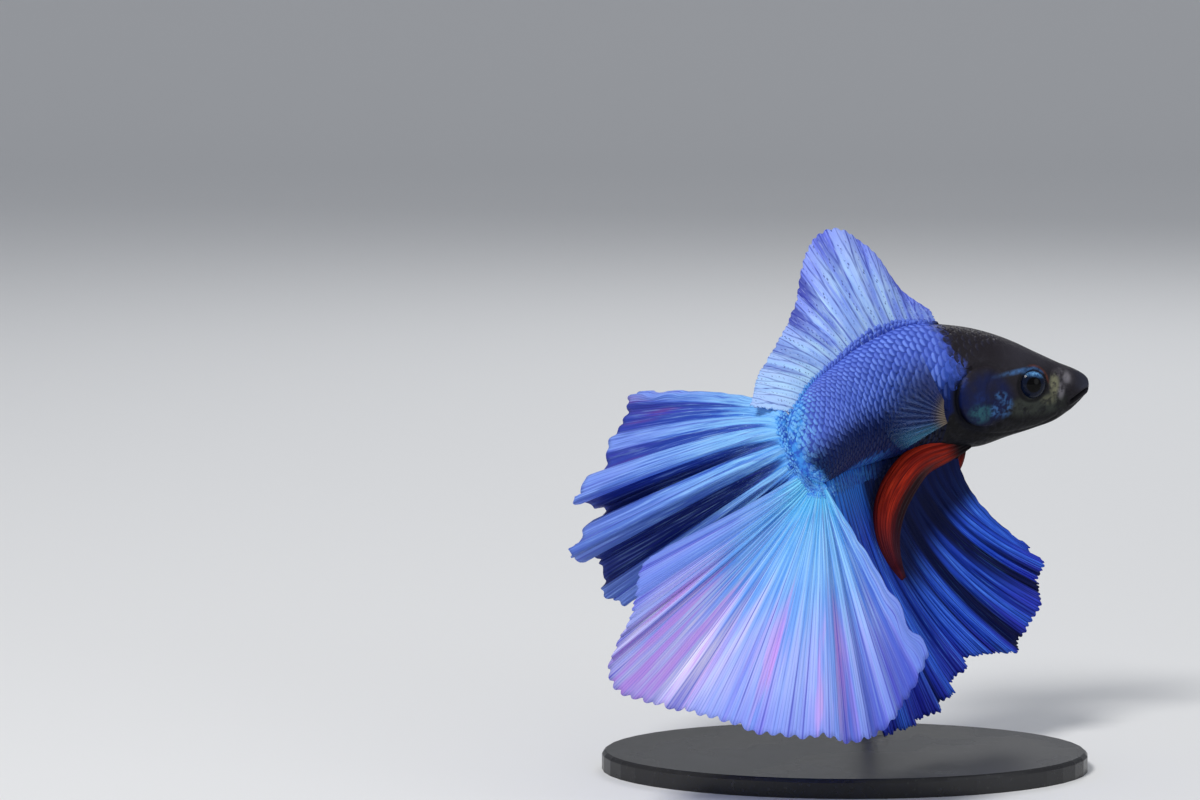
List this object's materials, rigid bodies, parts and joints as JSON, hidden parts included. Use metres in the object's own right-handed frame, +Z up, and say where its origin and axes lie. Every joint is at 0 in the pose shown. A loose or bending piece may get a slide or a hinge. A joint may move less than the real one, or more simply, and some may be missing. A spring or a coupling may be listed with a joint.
{
  "type": "betta fish",
  "caption": "Life-size still model of a male halfmoon betta fish in a curved turn with spread pleated fins, held by a thin rod over an oval base.",
  "frame": {"origin": "centre of the stand base's flat underside", "axes": "+Z up, +X towards the snout, the fish's right flank and the swing of its tail towards -Y"},
  "size_m": [0.0549, 0.0555, 0.0555],
  "materials": {
    "skin": "wet scaled skin, purple-blue with a near-black head",
    "eye": "glossy dark eye with a blue upper rim",
    "dorsal_fin": "pale lavender-blue membrane with dark ray lines",
    "anal_fin": "deep royal blue pleated membrane",
    "tail_fin": "light blue to violet pleated membrane with pink streaks",
    "pectoral_fin": "clear grey membrane with fine rays",
    "pelvic_fin": "red membrane with dark rays",
    "stand_base": "black satin acrylic",
    "stand_rod": "brushed"
  },
  "bodies": {
    "root": {"head": "skin", "lower_jaw": "skin", "gill_cover_right": "skin", "gill_cover_left": "skin", "trunk": "skin", "tail_stalk": "skin", "eye_right": "eye", "eye_left": "eye", "dorsal_fin": "dorsal_fin", "anal_fin": "anal_fin", "tail_fin": "tail_fin", "pectoral_fin_right": "pectoral_fin", "pectoral_fin_left": "pectoral_fin", "pelvic_fin_right": "pelvic_fin", "pelvic_fin_left": "pelvic_fin", "stand_base": "stand_base", "stand_rod": "stand_rod"}
  },
  "joints": []
}
